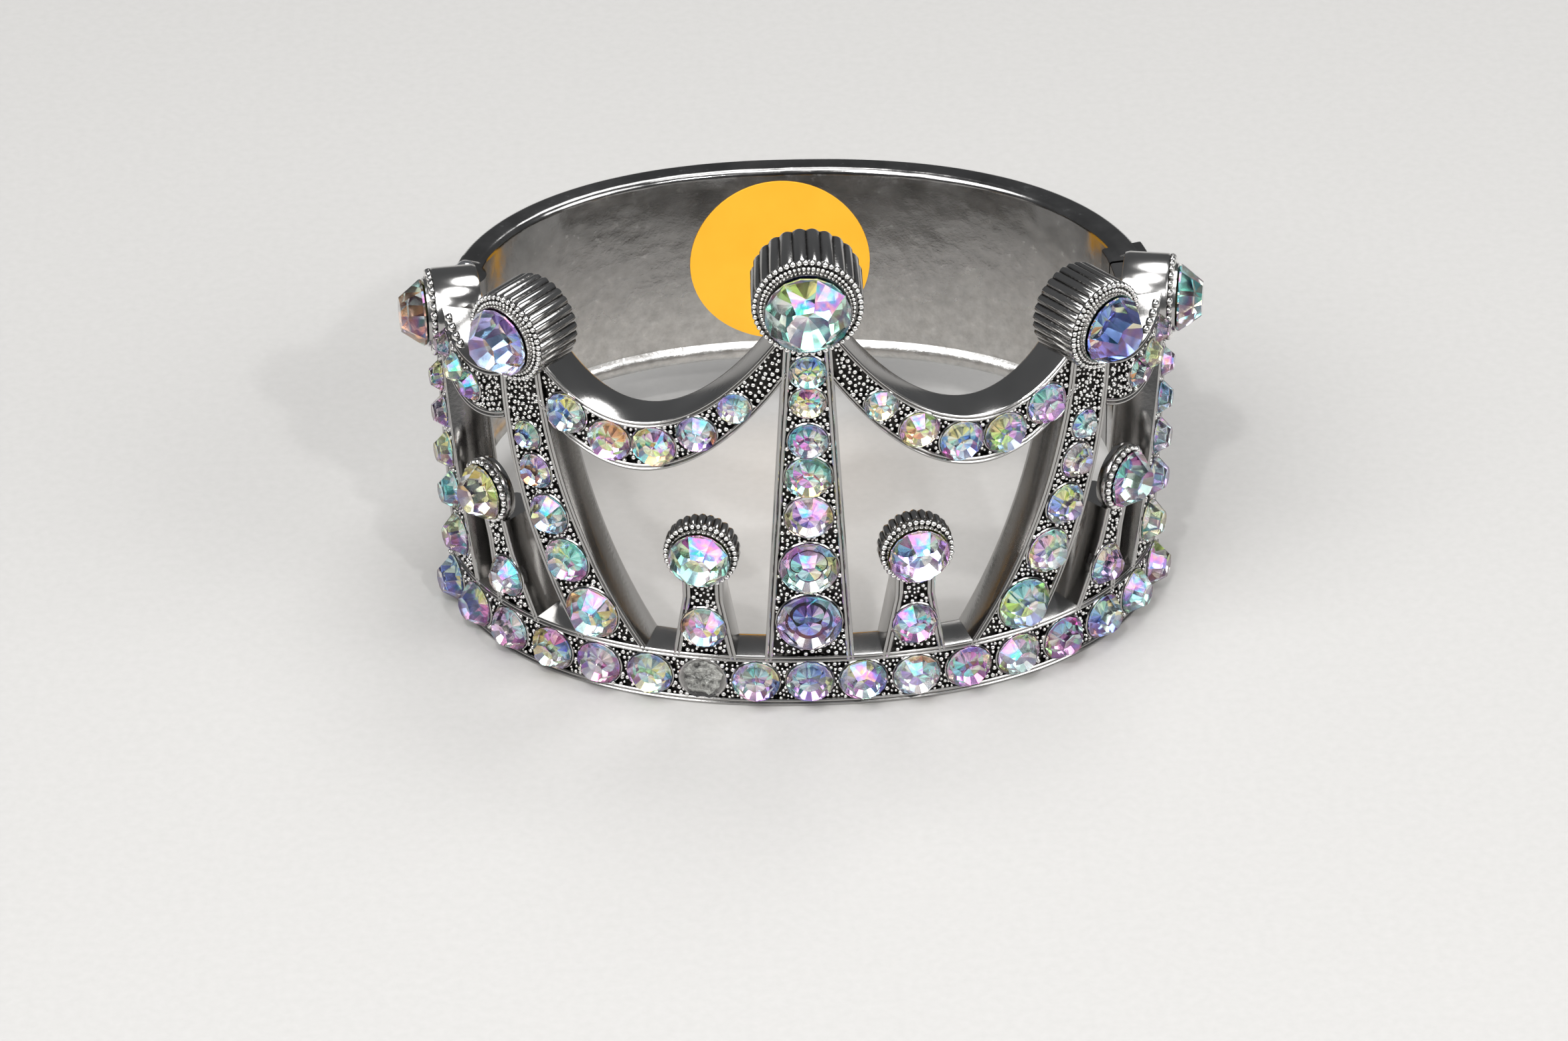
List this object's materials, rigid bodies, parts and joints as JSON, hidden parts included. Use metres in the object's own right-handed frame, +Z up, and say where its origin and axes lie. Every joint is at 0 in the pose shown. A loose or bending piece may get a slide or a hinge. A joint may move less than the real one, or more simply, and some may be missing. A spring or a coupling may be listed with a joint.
{
  "type": "hinged crown bangle",
  "caption": "Hinged bangle with an openwork crown front set with iridescent crystals and a plain polished back band that swings open on a side pin.",
  "frame": {"origin": "centre of the bounding box at the flat underside of the crown's base ring", "axes": "+Z up, along the wearer's wrist; the crown faces -Y; +X is to the right as the crown is looked at from the front"},
  "size_m": [0.0756, 0.0588, 0.0512],
  "materials": {
    "plated_casting": "polished gunmetal plating with blackened recesses",
    "plated_band": "polished gunmetal plating, lightly tarnished inside",
    "steel_pin": "bright",
    "magnet": "nickel-plated magnet",
    "paper": "matt, blank",
    "crystal": "faceted, foil-backed, iridescent coating"
  },
  "bodies": {
    "crown_front": {"crown_casting": "plated_casting", "hinge_pin": "steel_pin", "catch_magnet_front": "magnet", "base_stone_left_1": "crystal", "base_stone_left_3": "crystal", "base_stone_left_4": "crystal", "base_stone_left_5": "crystal", "base_stone_left_6": "crystal", "base_stone_left_7": "crystal", "base_stone_left_8": "crystal", "base_stone_middle": "crystal", "base_stone_right_1": "crystal", "base_stone_right_2": "crystal", "base_stone_right_3": "crystal", "base_stone_right_4": "crystal", "base_stone_right_5": "crystal", "base_stone_right_6": "crystal", "base_stone_right_7": "crystal", "base_stone_right_8": "crystal", "centre_stone_1": "crystal", "centre_stone_2": "crystal", "centre_stone_3": "crystal", "centre_stone_4": "crystal", "centre_stone_5": "crystal", "centre_stone_6": "crystal", "centre_stone_7": "crystal", "centre_top_stone": "crystal", "outer_left_top_stone": "crystal", "outer_right_top_stone": "crystal", "outer_short_left_stone_1": "crystal", "outer_short_left_top_stone": "crystal", "outer_short_right_stone_1": "crystal", "outer_short_right_top_stone": "crystal", "short_left_stone_1": "crystal", "short_left_top_stone": "crystal", "short_right_stone_1": "crystal", "short_right_top_stone": "crystal", "tall_left_stone_1": "crystal", "tall_left_stone_2": "crystal", "tall_left_stone_3": "crystal", "tall_left_stone_4": "crystal", "tall_left_stone_5": "crystal", "tall_left_top_stone": "crystal", "tall_right_stone_1": "crystal", "tall_right_stone_2": "crystal", "tall_right_stone_3": "crystal", "tall_right_stone_4": "crystal", "tall_right_stone_5": "crystal", "tall_right_top_stone": "crystal"},
    "rear_band": {"back_band": "plated_band", "catch_magnet_back": "magnet", "price_sticker": "paper"}
  },
  "joints": [
    {"name": "side_hinge", "type": "hinge", "parent": "crown_front", "child": "rear_band", "pos_m": [-0.03223, 0.00908, 0.017], "axis": [0, 0, 1], "range_deg": [0, 75]}
  ]
}
